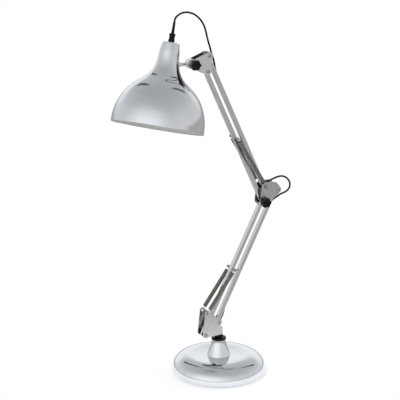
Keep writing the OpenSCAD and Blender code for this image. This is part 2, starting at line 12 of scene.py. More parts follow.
import bmesh
import bpy
import numpy as np
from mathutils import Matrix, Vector


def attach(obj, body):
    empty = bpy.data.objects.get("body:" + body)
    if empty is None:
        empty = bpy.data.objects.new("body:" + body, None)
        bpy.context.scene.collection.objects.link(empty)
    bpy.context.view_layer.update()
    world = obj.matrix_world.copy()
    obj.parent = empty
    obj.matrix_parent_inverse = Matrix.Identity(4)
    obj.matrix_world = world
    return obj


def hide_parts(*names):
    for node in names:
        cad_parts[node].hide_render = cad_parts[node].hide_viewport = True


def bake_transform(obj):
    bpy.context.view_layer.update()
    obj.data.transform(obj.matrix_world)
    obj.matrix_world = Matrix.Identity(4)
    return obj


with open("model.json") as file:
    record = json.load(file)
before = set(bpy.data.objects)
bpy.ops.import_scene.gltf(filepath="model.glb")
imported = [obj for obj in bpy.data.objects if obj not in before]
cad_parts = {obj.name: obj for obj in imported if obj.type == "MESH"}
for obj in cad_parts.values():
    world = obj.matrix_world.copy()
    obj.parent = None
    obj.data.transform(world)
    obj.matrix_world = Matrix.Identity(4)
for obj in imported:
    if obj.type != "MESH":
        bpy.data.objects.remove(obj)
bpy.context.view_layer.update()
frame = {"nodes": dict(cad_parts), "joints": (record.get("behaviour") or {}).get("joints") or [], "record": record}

# %% [markdown]
# ## Where things are
# The frame's joints say where every pivot of the lamp is, so nothing has to be measured again.
# The head bracket's lower screw is the one pivot with no joint of its own, because the linkage is
# opened there. It sits one plate step below the upper screw.

# %% Pivots and the shade's axis
MM = 0.001
pivot = {joint["name"]: np.array(joint["pos_m"]) for joint in frame["joints"]}
LOWER_FRONT = pivot["lower_front_pivot"]
LOWER_REAR = pivot["lower_arm_tilt"]
ELBOW_BOLT = pivot["upper_front_pivot"]
ELBOW_REAR = pivot["elbow_pivot"]
ELBOW_TOP = pivot["upper_arm_tilt"]
HEAD_REAR = pivot["head_bracket_pivot"]
HEAD_FRONT = HEAD_REAR - np.array([3, 0, 30]) * MM
KNUCKLE = pivot["head_tilt"]
socket = next(m for m in frame["record"]["mounts"] if m["name"] == "lamp_socket")
SHADE_UP = -np.array(socket["axis"])
SHADE_TOP = np.array(socket["pos_m"]) + 42 * MM * SHADE_UP
X_AXIS = np.array([1.0, 0, 0])
Y_AXIS = np.array([0, 1.0, 0])
Z_AXIS = np.array([0, 0, 1.0])


def leaning(degrees, length):
    """A step of that length, turned from upright towards +X by that angle."""
    a = math.radians(degrees)
    return length * np.array([math.sin(a), 0, math.cos(a)])


LOWER_LEAN = 26.3
UPPER_LEAN = -24.7
print("elbow bolt at", (1000 * ELBOW_BOLT).round(1), "and shade top at", (1000 * SHADE_TOP).round(1))

# %% [markdown]
# ## The camera
# A long lens from nearly three metres keeps the arms' lines straight and the ellipses calm.
# It is made first, because the cords are checked against what it sees.

# %% Camera
lens = bpy.data.cameras.new("studio_camera")
lens.lens = 126
lens.sensor_width = 36
lens.clip_end = 40
camera = bpy.data.objects.new("studio_camera", lens)
bpy.context.scene.collection.objects.link(camera)
camera.location = Vector((-1.16410, -2.38515, 1.07511))
looking_at = Vector((0.0044, 0.0980, 0.3362))
camera.rotation_euler = (looking_at - camera.location).to_track_quat("-Z", "Y").to_euler()
bpy.context.scene.camera = camera
print("camera is", round((looking_at - camera.location).length, 3), "m from the lamp")

# %% [markdown]
# ## Surfaces from whole arrays
# A surface here is a grid of points: rows along it and columns round it. Working out the whole grid in
# one numpy expression is fast and says the shape in one formula. Two kinds of grid are enough for most
# of the lamp: an outline turned about an axis, and a wire carried along a path.

# %% Grids to closed surfaces


def closed_shell(grid, ring=False):
    """Points and faces of a closed surface on a grid [row, column]. The columns run round it.
    With ring the rows run round too; without it, a fan about the middle closes the first and last row."""
    rows, columns = grid.shape[:2]
    points = grid.reshape(-1, 3)
    row = np.arange(rows if ring else rows - 1)[:, None]
    column = np.arange(columns)[None, :]
    above = (row + 1) % rows
    beside = (column + 1) % columns
    this_row, next_row = row * columns, above * columns
    corners = (this_row + column, this_row + beside, next_row + beside, next_row + column)
    faces = np.stack(np.broadcast_arrays(*corners), -1).reshape(-1, 4).tolist()
    if not ring:
        first, after = np.arange(columns), (np.arange(columns) + 1) % columns
        last = (rows - 1) * columns
        middle = len(points)
        points = np.vstack([points, grid[0].mean(0), grid[-1].mean(0)])
        faces += np.stack([np.full(columns, middle), after, first], -1).tolist()
        faces += np.stack([np.full(columns, middle + 1), last + first, last + after], -1).tolist()
    return points, faces


def made(name, shells, crease=35.0):
    """One object from several shells: doubles at the poles merged, faces turned outwards, and shaded
    smooth except where two faces meet at more than the crease angle."""
    points, faces, count = [], [], 0
    for shell_points, shell_faces in shells:
        points.append(shell_points)
        faces += [[i + count for i in face] for face in shell_faces]
        count += len(shell_points)
    points = np.vstack(points)
    assert np.isfinite(points).all(), name + " has points that aren't numbers"
    mesh = bpy.data.meshes.new(name)
    mesh.from_pydata(points.tolist(), [], faces)
    work = bmesh.new()
    work.from_mesh(mesh)
    bmesh.ops.remove_doubles(work, verts=work.verts, dist=1e-6)
    bmesh.ops.recalc_face_normals(work, faces=work.faces)
    work.to_mesh(mesh)
    work.free()
    mesh.shade_smooth()
    mesh.set_sharp_from_angle(angle=math.radians(crease))
    piece = bpy.data.objects.new(name, mesh)
    bpy.context.scene.collection.objects.link(piece)
    print(name, "has", len(mesh.polygons), "faces")
    return piece


# %% [markdown]
# ## The cord
# A thin black flex leaves the gland on top of the shade, loops over to the head bracket and drops into
# the rear tube. It comes out at the elbow, makes a second loop, and runs down the lower rear tube to the
# hollow spindle. A real flex bends at every joint, so each free stretch is a tube along one smooth curve.
# The points are the route's own, and a Catmull-Rom curve runs through all of them.

# %% Curves and tubes


def through(points, steps):
    """A Catmull-Rom curve through the points, with that many samples to a span: each span is the cubic
    that starts and ends with half the step between its neighbours."""
    p = np.vstack([2 * points[0] - points[1], points, 2 * points[-1] - points[-2]])
    a, b, c, d = p[:-3], p[1:-2], p[2:-1], p[3:]
    s = np.linspace(0, 1, steps, endpoint=False)[:, None, None]
    spans = 0.5 * (2 * b + (c - a) * s + (2 * a - 5 * b + 4 * c - d) * s**2 + (3 * b - 3 * c + d - a) * s**3)
    return np.vstack([spans.transpose(1, 0, 2).reshape(-1, points.shape[1]), points[-1:]])


def carried(path, radius, guide, columns=16):
    """A ring of that radius carried along the path. Each ring is square to the path, and starts from the
    direction that is square to the guide too: path + r (cos t n + sin t b)."""
    ahead = np.gradient(path, axis=0)
    ahead /= np.linalg.norm(ahead, axis=1, keepdims=True)
    n = np.cross(ahead, guide)
    n /= np.linalg.norm(n, axis=1, keepdims=True)
    b = np.cross(ahead, n)
    t = np.linspace(0, 2 * np.pi, columns, endpoint=False)[None, :, None]
    r = np.broadcast_to(radius, len(path))[:, None, None]
    return path[:, None] + r * (np.cos(t) * n[:, None] + np.sin(t) * b[:, None])


# %% Cord routes in millimetres
CORD_D = 3.6 * MM
BLOCK_TOP = 93.8
UPPER_LENGTH = 298 * MM
# Where a loop meets the straight lead inside a rear tube, measured from the pivot at that end of it
UPPER_END = 52 * MM
UPPER_START = 38 * MM
LOWER_END = 56 * MM
LOWER_START = 46 * MM
upper_in = ELBOW_TOP + leaning(UPPER_LEAN, UPPER_LENGTH - UPPER_END)
upper_out = ELBOW_TOP + leaning(UPPER_LEAN, UPPER_START)
lower_in = ELBOW_REAR - leaning(LOWER_LEAN, LOWER_END)
lower_out = LOWER_REAR + leaning(LOWER_LEAN, LOWER_START)

head_route = MM * np.array([
    [-88.8, 13.2, 713], [-86.8, 14, 719.8], [-82, 13.5, 725.5], [-74.5, 11.5, 730], [-66, 9.5, 731.5],
    [-57.5, 8, 730], [-49.5, 7, 726.5], [-42.5, 6, 721], [-36.5, 5, 714], [-32, 4, 706], [-29, 3, 697],
    [-27, 2.2, 688], [-25, 1.5, 679], [-22.5, 0.8, 670], [-20, 0.2, 661], [-17.5, 0, 652], [-14.5, 0, 643.5],
    [-12, 0, 635], [-10.5, 0, 626.5], [-8.8, 0, 618], [-7, 0, 609.5]])
head_route = np.vstack([head_route, upper_in])
elbow_route = MM * np.array([
    [84.5, 0, 407], [88, 0, 401], [92, 0, 395], [95, 0, 391], [99, 0, 388], [104, 0, 387.2], [110, 0, 388.2],
    [117, 0, 390.3], [124, 0, 392.6], [131.5, 0, 394.3], [139.5, 0, 394.3], [147, 0, 391.5], [153, 0, 386.3],
    [157, 0, 379], [157, 0, 370.5], [152, 0, 363.5], [144.5, 0, 360], [137, 0, 357.8], [130.3, 0, 354.4],
    [123.7, 0, 350.9], [117.8, 0, 347.1], [112.3, 0, 342.1], [107.3, 0, 335.6], [103.2, 0, 328.7]])
elbow_route = np.vstack([upper_out, elbow_route, lower_in])
bracket_route = MM * np.array([
    [13.7, 0, 145.4], [12.4, 0, 138.2], [11.2, 0, 131], [9.3, 0, 124.1], [6.4, 0, 117.8], [3.6, 0, 112],
    [1.5, 0, 106], [0.3, 0, 100], [0, 0, BLOCK_TOP]])
bracket_route = np.vstack([lower_out, bracket_route])

# %% Lay the cords
SPAN_STEPS = 5
pieces_of_cord = []


def lay_cord(name, route, first, last):
    """The stretch of a route between two of its points, as one tube of flex."""
    whole = through(route, SPAN_STEPS)
    path = whole[first * SPAN_STEPS:last * SPAN_STEPS + 1]
    piece = made(name + "_flex", [closed_shell(carried(path, CORD_D / 2, Y_AXIS))])
    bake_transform(piece)
    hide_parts(name)
    pieces_of_cord.append(piece)


for name, route, first, last, from_body, to_body in [
    ("head_loop_a", head_route, 0, 7, "shade", "head_rod"),
    ("head_loop_b", head_route, 7, 14, "head_rod", "head_bracket"),
    ("head_loop_c", head_route, 14, 21, "head_bracket", "upper_arm_rear"),
    ("elbow_loop_a", elbow_route, 0, 12, "upper_arm_rear", "elbow"),
    ("elbow_loop_b", elbow_route, 12, 25, "elbow", "lower_arm_rear"),
    ("bracket_run", bracket_route, 0, 9, "lower_arm_rear", "lower_bracket"),
]:
    lay_cord(name, route, first, last)

# %% [markdown]
# ## Sums with sockets
# A finish is a small calculation: where on the piece am I, how scratched is it there, how rough does
# that make it. Written node by node it is hard to read, so one class wraps a socket and lets ordinary
# sums build the Math nodes. Any other node comes from its one method, add.

# %% A socket that can be reckoned with


class Socket:
    """An output socket of a material or a world. Sums on it add Math nodes."""

    def __init__(self, tree, socket):
        self.tree = tree
        self.socket = socket

    def add(self, kind, settings=None, inputs=None, output=0):
        """A new node of that type. Its settings are set first, then its sockets get values or links."""
        node = self.tree.nodes.new(kind)
        for key, value in (settings or {}).items():
            if key == "stops":
                while len(node.color_ramp.elements) < len(value):
                    node.color_ramp.elements.new(1.0)
                for element, (place, colour) in zip(node.color_ramp.elements, value):
                    element.position = place
                    element.color = (*colour, 1.0)
            else:
                setattr(node, key, value)
        for key, value in (inputs or {}).items():
            if isinstance(value, Socket):
                self.tree.links.new(value.socket, node.inputs[key])
            else:
                node.inputs[key].default_value = value
        return Socket(self.tree, node.outputs[output])

    def math(self, operation, a, b=0.0):
        return self.add("ShaderNodeMath", {"operation": operation}, {0: a, 1: b})

    def __add__(self, other):
        return self.math("ADD", self, other)

    def __radd__(self, other):
        return self.math("ADD", other, self)

    def __sub__(self, other):
        return self.math("SUBTRACT", self, other)

    def __rsub__(self, other):
        return self.math("SUBTRACT", other, self)

    def __mul__(self, other):
        return self.math("MULTIPLY", self, other)

    def __rmul__(self, other):
        return self.math("MULTIPLY", other, self)

    def above(self, edge, width=0.1):
        """0 below the edge and 1 above it, with a soft step of that width."""
        return self.add("ShaderNodeMapRange", {"interpolation_type": "SMOOTHSTEP"},
                        {0: self, 1: edge - width / 2, 2: edge + width / 2, 3: 0.0, 4: 1.0})

    def mix(self, low, high):
        """The colour low where this socket is 0 and high where it is 1."""
        colours = {6: low if isinstance(low, Socket) else (*low, 1.0),
                   7: high if isinstance(high, Socket) else (*high, 1.0)}
        return self.add("ShaderNodeMix", {"data_type": "RGBA"}, {0: self, **colours}, output=2)

    def stretched(self, turn=(0, 0, 0), scale=(1, 1, 1)):
        """These coordinates turned by degrees, then scaled, so that a pattern can run along a piece."""
        return self.add("ShaderNodeMapping", None,
                        {"Vector": self, "Rotation": [math.radians(x) for x in turn], "Scale": scale})

    def noise(self, size, detail=3.0, roughness=0.5):
        """Cloudy noise about 0.5, with features of that size in metres."""
        return self.add("ShaderNodeTexNoise", None,
                        {"Vector": self, "Scale": 1 / size, "Detail": detail, "Roughness": roughness})


def finish(name, base, metallic, roughness, bump=None, depth=0.0, **constants):
    """A material with those values or sockets on its shader. The recipe's parts come from functions of
    the object coordinates, so the material can be made in one go. Bump is a height and depth its metres."""
    material = bpy.data.materials.new(name)
    material.use_nodes = True
    tree = material.node_tree
    shader = tree.nodes["Principled BSDF"]
    here = Socket(tree, tree.nodes.new("ShaderNodeTexCoord").outputs["Object"])
    values = {"Base Color": base, "Metallic": metallic, "Roughness": roughness}
    for key, value in values.items():
        value = value(here) if callable(value) else value
        if isinstance(value, Socket):
            tree.links.new(value.socket, shader.inputs[key])
        elif key == "Base Color":
            shader.inputs[key].default_value = (*value, 1.0)
        else:
            shader.inputs[key].default_value = value
    for key, value in constants.items():
        shader.inputs[key.replace("_", " ")].default_value = value
    if bump is not None:
        relief = here.add("ShaderNodeBump", None, {"Strength": 1.0, "Distance": depth, "Height": bump(here)})
        tree.links.new(relief.socket, shader.inputs["Normal"])
    print("finish", name, "uses", len(tree.nodes), "nodes")
    return material


# %% [markdown]
# ## Chrome and the other metals
# Chrome plate is a mirror with a cold tint. What makes it real is small: fingerprints that dull it in
# patches, hair-fine polishing marks, and a surface that is never quite flat, so long reflections waver.
# The turned shells show marks that run round them, and the drawn tubes show marks along their length.

# %% Chrome


def smudges(here):
    """Dull patches of a few centimetres with finer grain inside them."""
    return here.noise(0.045, 4.0).above(0.56, 0.22) * (0.4 + here.noise(0.004, 3.0) * 0.9)


def chrome(name, base, low, turn, scale, depth=6e-6):
    """Chrome whose marks run along the direction that the turn and scale stretch."""
    return finish(
        name,
        lambda here: smudges(here).mix(base, [0.95 * c for c in base]),
        1.0,
        lambda here: low + 0.05 * smudges(here) + 0.035 * here.stretched(turn, scale).noise(0.0012, 4.0),
        lambda here: here.noise(0.030, 1.0) + 0.04 * here.stretched(turn, scale).noise(0.0009, 2.0),
        depth)


chrome_base = chrome("chrome_base", (0.83, 0.845, 0.87), 0.035, (0, 0, 0), (0.25, 0.25, 1))
chrome_lower_tube = chrome("chrome_lower_tube", (0.80, 0.80, 0.81), 0.06, (0, LOWER_LEAN, 0), (1, 1, 0.03))
chrome_upper_tube = chrome("chrome_upper_tube", (0.80, 0.80, 0.81), 0.06, (0, UPPER_LEAN, 0), (1, 1, 0.03))
chrome_rod = chrome("chrome_rod", (0.80, 0.81, 0.83), 0.06, (0, 0, 0), (0.2, 1, 1))

# %% [markdown]
# ## Plated steel, springs and brass
# The bracket plates are stamped and satin plated, so they are greyer and cloudier than the tubes.
# The head bracket's plates take a paler copy of the same plate, which is a painted highlight.
# Screws and nuts are small bright plating gone a little brown. The spring coils and their hooks are one wire
# in two copies: the coils are painted darker, as painted shade of the close turns, with an oily bloom that
# changes from coil to coil. Zinc plate inside the base shows faint pale crystals.

# %% Other metals


def satin(name, light, dark, low, high, size=0.006):
    """Satin plate: the colour drifts between two greys, and the roughness with it."""
    return finish(
        name,
        lambda here: here.noise(size, 5.0, 0.62).above(0.5, 0.4).mix(dark, light),
        1.0,
        lambda here: low + (high - low) * here.noise(size * 0.6, 4.0),
        lambda here: here.noise(0.0007, 3.0) + 0.6 * here.noise(0.004, 2.0),
        5e-6)


plate_grey = satin("plate_grey", (0.68, 0.68, 0.675), (0.60, 0.60, 0.595), 0.24, 0.36)
# A paler copy of the same plate for the head bracket: a painted highlight, not a different plating.
plate_painted_highlight = satin("plate_painted_highlight", (0.93, 0.94, 0.96), (0.84, 0.86, 0.89), 0.20, 0.34)
screw_plate = satin("screw_plate", (0.62, 0.60, 0.57), (0.40, 0.37, 0.34), 0.16, 0.36, 0.002)
# The coil wire is a darker copy of the hook wire: painted shade of the close turns.
coil_wire_painted_shade = satin("coil_wire_painted_shade", (0.38, 0.355, 0.33), (0.22, 0.20, 0.185), 0.26, 0.48, 0.004)
hook_wire = satin("hook_wire", (0.80, 0.80, 0.79), (0.56, 0.55, 0.53), 0.16, 0.30, 0.003)
brass = satin("nickelled_brass", (0.80, 0.66, 0.38), (0.60, 0.46, 0.24), 0.18, 0.36, 0.003)
zinc = finish(
    "zinc_plate",
    lambda here: here.noise(0.009, 4.0).above(0.5, 0.3).mix((0.46, 0.47, 0.49), (0.62, 0.63, 0.65)),
    1.0,
    lambda here: 0.32 + 0.2 * here.noise(0.005, 3.0),
    lambda here: here.noise(0.002, 2.0),
    1e-5)
iron = finish(
    "cast_iron",
    lambda here: here.noise(0.003, 5.0).above(0.5, 0.4).mix((0.10, 0.10, 0.105), (0.20, 0.195, 0.19)),
    0.7,
    lambda here: 0.6 + 0.25 * here.noise(0.002, 3.0),
    lambda here: here.noise(0.0014, 5.0),
    1.5e-4)
metals = [chrome_base, plate_grey, plate_painted_highlight, screw_plate, coil_wire_painted_shade, hook_wire, brass, zinc, iron]
print(len(metals), "metal finishes besides the tubes")

# %% [markdown]
# ## Black parts
# Knobs and the collar are moulded phenolic: deep black, glossy on their crests, with a fine orange
# peel. Spacers and glands are nylon, duller and a touch lighter. The flex has a soft
# matt sheath, and the pad under the base is pressed felt, which is all fibre and no shine.

# %% Plastics, sheath and felt
moulded = finish(
    "moulded_black",
    lambda here: here.noise(0.010, 3.0).above(0.5, 0.5).mix((0.004, 0.004, 0.0045), (0.008, 0.008, 0.009)),
    0.0,
    lambda here: 0.20 + 0.16 * here.noise(0.003, 4.0),
    lambda here: here.noise(0.0008, 2.0),
    1.6e-5, Specular_IOR_Level=0.16)
nylon = finish(
    "black_nylon",
    lambda here: here.noise(0.006, 3.0).above(0.5, 0.5).mix((0.005, 0.005, 0.0055), (0.010, 0.010, 0.011)),
    0.0,
    lambda here: 0.38 + 0.2 * here.noise(0.002, 4.0),
    lambda here: here.noise(0.0005, 2.0),
    1.5e-5, Specular_IOR_Level=0.12)
sheath = finish(
    "flex_sheath",
    lambda here: here.noise(0.012, 3.0).above(0.5, 0.5).mix((0.004, 0.004, 0.005), (0.009, 0.009, 0.011)),
    0.0,
    lambda here: 0.34 + 0.2 * here.noise(0.004, 4.0),
    lambda here: here.noise(0.0009, 3.0),
    3e-5, Specular_IOR_Level=0.12)
felt = finish(
    "pressed_felt",
    lambda here: here.noise(0.0012, 5.0, 0.7).above(0.5, 0.5)
    .mix((0.014, 0.014, 0.015), (0.045, 0.045, 0.047)),
    0.0,
    0.95,
    lambda here: here.noise(0.0006, 4.0, 0.8),
    2e-4, Sheen_Weight=0.4, Sheen_Roughness=0.6)
for piece in pieces_of_cord:
    piece.data.materials.append(sheath)
print("black finishes:", moulded.name, nylon.name, sheath.name, felt.name)

# %% [markdown]
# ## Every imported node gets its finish
# The record says which material slot each node belongs to. The nodes that keep their own shape, such
# as leads, screws inside the base and the felt pad, take the finish of their slot here.

# %% Finishes for the slots
slot_of = {part["node"]: part["material_slot"] for part in frame["record"]["subparts"]}
finish_of = {
    "chrome_shell": chrome_base, "chrome_tube": chrome_rod, "plate_steel": plate_grey,
    "screw_steel": screw_plate, "spring_steel": coil_wire_painted_shade, "inner_steel": zinc, "iron": iron,
    "black_plastic": moulded, "nylon": nylon, "felt": felt, "cord_black": sheath, "thread_brass": brass,
}


def wear(piece, material):
    """Gives a piece its one material."""
    piece.data.materials.clear()
    piece.data.materials.append(material)


for name, node in frame["nodes"].items():
    wear(node, finish_of[slot_of[name]])
print(len(frame["nodes"]), "nodes have a finish")


def belongs(piece, body, material, *nodes):
    """Finishes a new piece: its material, the body it rides on, and the nodes that it stands for."""
    wear(piece, material)
    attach(piece, body)
    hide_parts(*nodes)
    return piece


# %% [markdown]
# ## Turned parts
# The base, its cone, the collar, the shade and its gland are all made on a lathe or by spinning sheet.
# Each is an outline of [radius, height] turned about an axis: (r cos t, r sin t, h). The outline runs
# up the outside and down the inside, so a shell has its real thickness and a closed rim.

# %% Lathe


def turned(outline, columns=96):
    """Each [radius, height] of the outline swept round +Z."""
    t = np.linspace(0, 2 * np.pi, columns, endpoint=False)
    r, h = outline[:, :1], outline[:, 1:]
    return np.stack([r * np.cos(t), r * np.sin(t), h + 0 * t], -1)


def placed(grid, origin, axis):
    """The grid with its +Z along the axis, moved to the origin. Its +X stays as near to the frame's +X as
    it can, or to +Y where the axis itself runs along X and leaves no such direction."""
    up = np.asarray(axis, float) / np.linalg.norm(axis)
    across = Y_AXIS if abs(up[0]) > 0.9 else X_AXIS
    side = across - up * (across @ up)
    side = side / np.linalg.norm(side)
    return grid @ np.stack([side, np.cross(up, side), up]) + origin


def eased(corners, steps=4):
    """A closed outline from rows [radius, height, cut]: each corner is cut back by that much along both
    its sides, and the parabola between the cuts replaces it."""
    c = np.asarray(corners, float)
    here, cut = c[:, :2], c[:, 2:3]
    back, on = np.roll(here, 1, 0) - here, np.roll(here, -1, 0) - here
    back_length = np.maximum(np.linalg.norm(back, axis=1, keepdims=True), 1e-9)
    on_length = np.maximum(np.linalg.norm(on, axis=1, keepdims=True), 1e-9)
    start = here + back / back_length * np.minimum(cut, 0.48 * back_length)
    end = here + on / on_length * np.minimum(cut, 0.48 * on_length)
    s = np.linspace(0, 1, steps)[None, :, None]
    arcs = (1 - s) ** 2 * start[:, None] + 2 * s * (1 - s) * here[:, None] + s**2 * end[:, None]
    return arcs.reshape(-1, 2) * MM


def inset(outline, wall):
    """The outline moved to its left by the wall, for the inside of a shell."""
    along = np.gradient(outline, axis=0)
    along /= np.linalg.norm(along, axis=1, keepdims=True)
    return outline + wall * np.stack([-along[:, 1], along[:, 0]], -1)


def lathe(name, body, material, origin, axis, outline, *nodes, columns=96, crease=35.0):
    """One turned piece from a closed outline in metres."""
    piece = made(name, [closed_shell(placed(turned(outline, columns), origin, axis), ring=True)], crease)
    return belongs(piece, body, material, *nodes)


# %% [markdown]
# ## The weighted base
# A steel cover is spun over the iron weight: a tucked-in foot, a full round shoulder and an almost flat
# top. The shoulder is a superellipse, fuller than a quarter circle, which is what makes the bright
# band of reflection sit high on it. The sheet is 1.2 mm thick.

# %% Base cover
BASE_R = 95.0
BASE_H = 40.0
PAD = 1.5
FOOT_R = BASE_R - 16
FOOT_H = 8.5
FLAT_R = BASE_R - 38
foot = np.radians(np.linspace(0, 90, 16))[:, None]
shoulder = np.radians(np.linspace(2, 90, 44))[:, None]
foot_curve = np.hstack([FOOT_R + 16 * np.sin(foot), PAD + FOOT_H * (1 - np.cos(foot))])
shoulder_curve = np.hstack([
    FLAT_R + 38 * np.maximum(np.cos(shoulder), 0) ** 0.9,
    PAD + FOOT_H + (BASE_H - PAD - FOOT_H) * np.sin(shoulder) ** 0.9])
top_curve = np.array([[50, 39.85], [40, 39.3], [28, 39.0], [11, 39.0]])
outer = np.vstack([foot_curve, shoulder_curve, top_curve])
cover_outline = np.vstack([outer, inset(outer, 1.2)[::-1]]) * MM
base = lathe("spun_base", "root", chrome_base, np.zeros(3), Z_AXIS, cover_outline, "base_cover", columns=192)
print("base cover is", round(2 * outer[:, 0].max()), "mm across")

# %% [markdown]
# ## Cone, collar and the cord's inlet
# A chromed cone stands on the cover and carries the spindle's bush. Its side is slightly hollow, so it
# shows upright dark and bright bands. The moulded collar above it is what the arm turns on.
# Behind, a nylon grommet takes the mains lead, which isn't part of this lamp.

# %% Stem
CONE_LOW = BASE_H - 1
CONE_TOP = CONE_LOW + 32
rise = np.linspace(0, 1, 28)[:, None]
cone_side = np.hstack([14.8 + 9.4 * (1 - rise) ** 1.35, CONE_LOW + 32 * rise])
cone_outline = np.vstack([
    [[10.6, 30.5], [10.6, CONE_LOW], [23.9, CONE_LOW]], cone_side[1:-1],
    [[14.8, CONE_TOP - 0.25], [14.5, CONE_TOP]],
    [[8.0, CONE_TOP], [8.0, 30.5]]]) * MM
lathe("stem_spun_cone", "root", chrome_base, np.zeros(3), Z_AXIS, cone_outline, "stem_cone", columns=128)
collar_outline = eased([
    [6.3, CONE_TOP, 0.1], [14.2, CONE_TOP, 0.5], [14.8, CONE_TOP + 0.9, 0.5], [14.8, CONE_TOP + 3.6, 0.7],
    [13.9, CONE_TOP + 4.5, 0.5], [6.3, CONE_TOP + 4.5, 0.1]])
lathe("stem_moulded_collar", "root", moulded, np.zeros(3), Z_AXIS, collar_outline, "stem_collar", columns=96)
inlet_outline = eased([
    [3.0, 87, 0.3], [6.2, 87, 0.3], [6.2, 90, 0.2], [5.0, 90, 0.1], [5.0, 95.2, 0.1], [7.0, 95.2, 0.5],
    [6.6, 97.6, 0.9], [3.0, 97.6, 0.6]])
lathe("mains_inlet", "root", nylon, 14 * MM * Z_AXIS, Y_AXIS, inlet_outline, "cord_gland", columns=64)

# %% [markdown]
# ## The shade
# The shade is one sheet spun into a narrow neck that flares into a deep dome. A Catmull-Rom curve
# through a few [radius, depth] pairs gives its outline, and the same curve moved in by the wall gives
# the inside, with a rounded bead where the sheet is turned in at the rim. An attribute of the mesh
# says which points are inside, so that one material can be chrome outside and enamel within.

# %% Shade outline and mesh
shade_points = np.array([
    [15.3, 0], [16.4, 1.2], [18.8, 16], [20.3, 32], [22.8, 44], [26.8, 54], [32.8, 63], [41, 71], [52.3, 80],
    [64, 91], [73.8, 104], [80.8, 118], [85.6, 132], [88.2, 147], [89, 162]])
shade_curve = through(shade_points, 7)[1:]
outside = np.vstack([[5.2, 0.0], [14.6, 0.0], [15.5, 0.12], [16.05, 0.5], shade_curve[6:]])
inside = inset(shade_curve[6:], 1.0)
inside = np.vstack([[5.2, 1.4], [14.4, 1.4], inside])
bead_turn = np.radians(np.linspace(0, 180, 10))[:, None]
bead = np.hstack([88.2 + 0.8 * np.cos(bead_turn), 161.8 + 0.8 * np.sin(bead_turn)])
shade_outline = np.vstack([outside[:-1], bead, inside[::-1][1:]]) * [1, -1] * MM
shade = made("spun_shade", [closed_shell(placed(turned(shade_outline, 176), SHADE_TOP, SHADE_UP), ring=True)])
print("shade opens", 2 * shade_points[-1, 0], "mm across and is", shade_points[-1, 1], "mm deep")

# %% Mark the inside of the shade
corners = np.empty(3 * len(shade.data.vertices))
shade.data.vertices.foreach_get("co", corners)
corners = corners.reshape(-1, 3) - SHADE_TOP
depth = -(corners @ SHADE_UP)
radius = np.linalg.norm(corners + depth[:, None] * SHADE_UP, axis=1)
wall_radius = np.interp(depth, outside[:, 1] * MM, outside[:, 0] * MM)
within = ((radius < wall_radius - 0.45 * MM) & (depth > 0.9 * MM) & (depth < 161.5 * MM)).astype(np.float32)
attribute = shade.data.attributes.new("within", "FLOAT", "POINT")
attribute.data.foreach_set("value", within)
print(int(within.sum()), "of", len(within), "points are inside")
assert 0.3 < within.mean() < 0.6, "about half of the shade's points have to be on its inside"

# %% Chrome outside, enamel inside


def within_mask(here):
    return here.add("ShaderNodeAttribute", {"attribute_name": "within"}, None, "Fac").above(0.5, 0.2)


shade_finish = finish(
    "shade_chrome_and_enamel",
    lambda here: within_mask(here).mix(
        smudges(here).mix((0.80, 0.815, 0.835), (0.76, 0.775, 0.795)), (0.84, 0.84, 0.83)),
    lambda here: 1 - within_mask(here),
    lambda here: 0.055 + 0.05 * smudges(here) + 0.03 * here.noise(0.0015, 3.0) + 0.25 * within_mask(here),
    lambda here: here.noise(0.030, 1.0) + 0.05 * here.noise(0.0012, 2.0),
    9e-6)
belongs(shade, "shade", shade_finish, "shade_neck", "shade_crown", "shade_bell")

# %% [markdown]
# ## Gland and lampholder
# The flex enters through a gland with a hexagon foot, a domed cap and a tapered relief with rings that
# let it bend. A hexagon is a turned part whose radius depends on the angle too: the distance to the
# side of a hexagon. The lampholder below has its thread moulded in a brass sleeve. Its wall is the
# same kind of surface, with a radius that follows a screw line.

# %% Hexagon radius and gland


def hexagon(t, across):
    """Distance from the middle of a hexagon to its side in the direction t, for that width across flats."""
    return across / 2 / np.cos((t + np.pi / 6) % (np.pi / 3) - np.pi / 6)


def turned_hexagon(outline, across, rounding, columns=96):
    """A turned outline whose radius is cut to a hexagon where it is larger. Rounding trims the corners."""
    t = np.linspace(0, 2 * np.pi, columns, endpoint=False)[None]
    limit = np.minimum(hexagon(t, across), rounding)
    r = np.minimum(outline[:, :1], limit)
    h = outline[:, 1:] + 0 * t
    return np.stack([r * np.cos(t), r * np.sin(t), h], -1)


nut_foot = eased([[4.0, 0.05, 0.1], [6.0, 0.05, 0.3], [6.0, 6.2, 0.4], [4.0, 6.2, 0.1]])
cap = eased([
    [2.0, 6.2, 0.1], [5.2, 6.2, 0.2], [5.4, 13.0, 0.4], [5.9, 14.0, 0.3], [5.9, 17.0, 0.3], [5.5, 17.5, 0.3],
    [2.0, 17.5, 0.2]])
RELIEF_LOW = 17.0
RELIEF_TOP = 38.4
RING_PITCH = 3.4
ring_heights = np.linspace(RELIEF_LOW, RELIEF_TOP, 120)[:, None]
climb = ring_heights - RELIEF_LOW
taper = 3.1 - 0.7 * climb / (RELIEF_TOP - RELIEF_LOW)
grooves = 0.3 * (0.5 - 0.5 * np.cos(2 * np.pi * climb / RING_PITCH)) ** 3
relief_side = np.hstack([taper - grooves, ring_heights])
relief = np.vstack([[[1.9, RELIEF_LOW]], relief_side, [[1.9, RELIEF_TOP]]]) * MM
gland = made("flex_gland", [
    closed_shell(placed(turned_hexagon(nut_foot, 11.0 * MM, 6.1 * MM), SHADE_TOP, SHADE_UP), ring=True),
    closed_shell(placed(turned(cap, 64), SHADE_TOP, SHADE_UP), ring=True),
    closed_shell(placed(turned(relief, 48), SHADE_TOP, SHADE_UP), ring=True)])
belongs(gland, "shade", nylon, "shade_gland")

